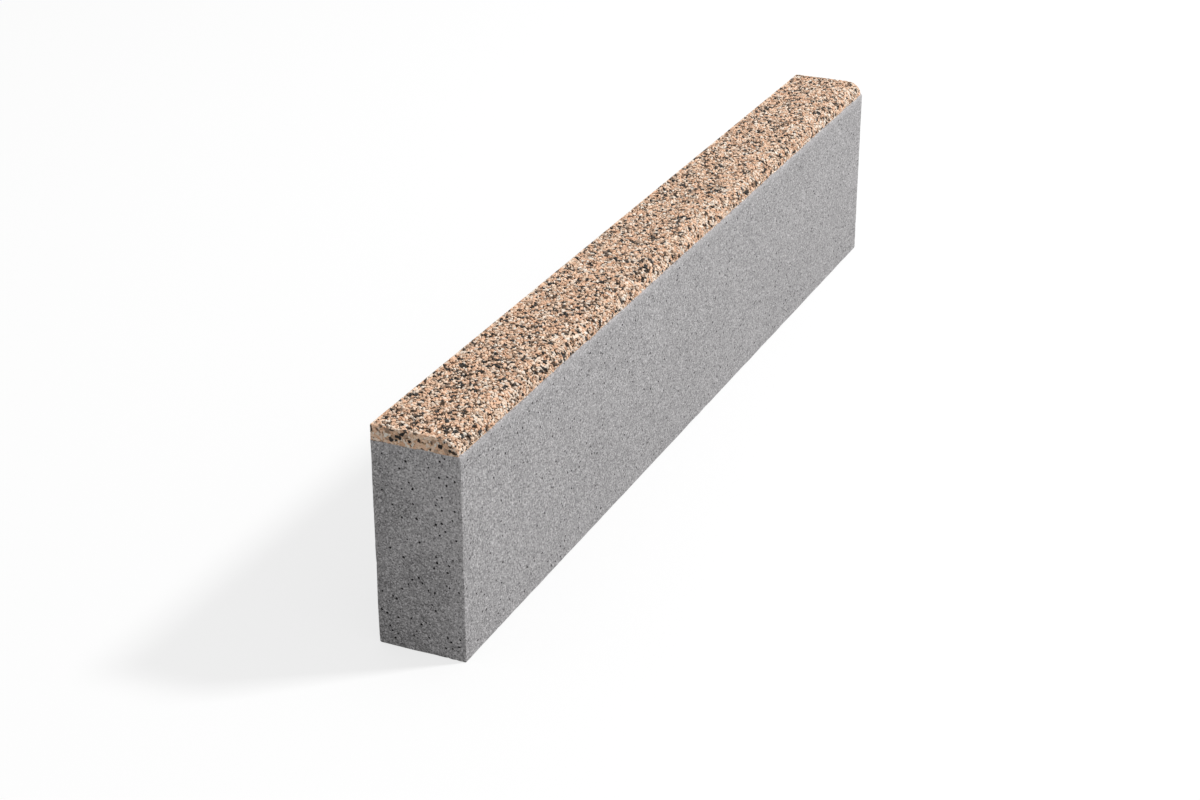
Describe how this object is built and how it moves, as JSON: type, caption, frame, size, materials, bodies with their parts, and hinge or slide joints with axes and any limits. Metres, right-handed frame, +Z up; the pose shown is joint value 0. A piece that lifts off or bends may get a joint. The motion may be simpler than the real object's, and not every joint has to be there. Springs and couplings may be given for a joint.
{
  "type": "concrete kerb stone",
  "caption": "Straight concrete kerb stone with a washed granite aggregate facing on top and one rounded top edge, lying on its bed face.",
  "frame": {"origin": "centre of the underside, on the surface the stone stands on", "axes": "+X along the length, +Y through the width from the front with the rounded top edge to the plain back, +Z up to the granite facing"},
  "size_m": [1, 0.08, 0.2],
  "materials": {
    "concrete": "pressed grey concrete, matte, with fine sand grain and small pores",
    "exposed_granite": "washed aggregate of peach, cream and black granite chippings, rough and matte"
  },
  "bodies": {
    "root": {"concrete_body": "concrete", "granite_facing": "exposed_granite"}
  },
  "joints": []
}
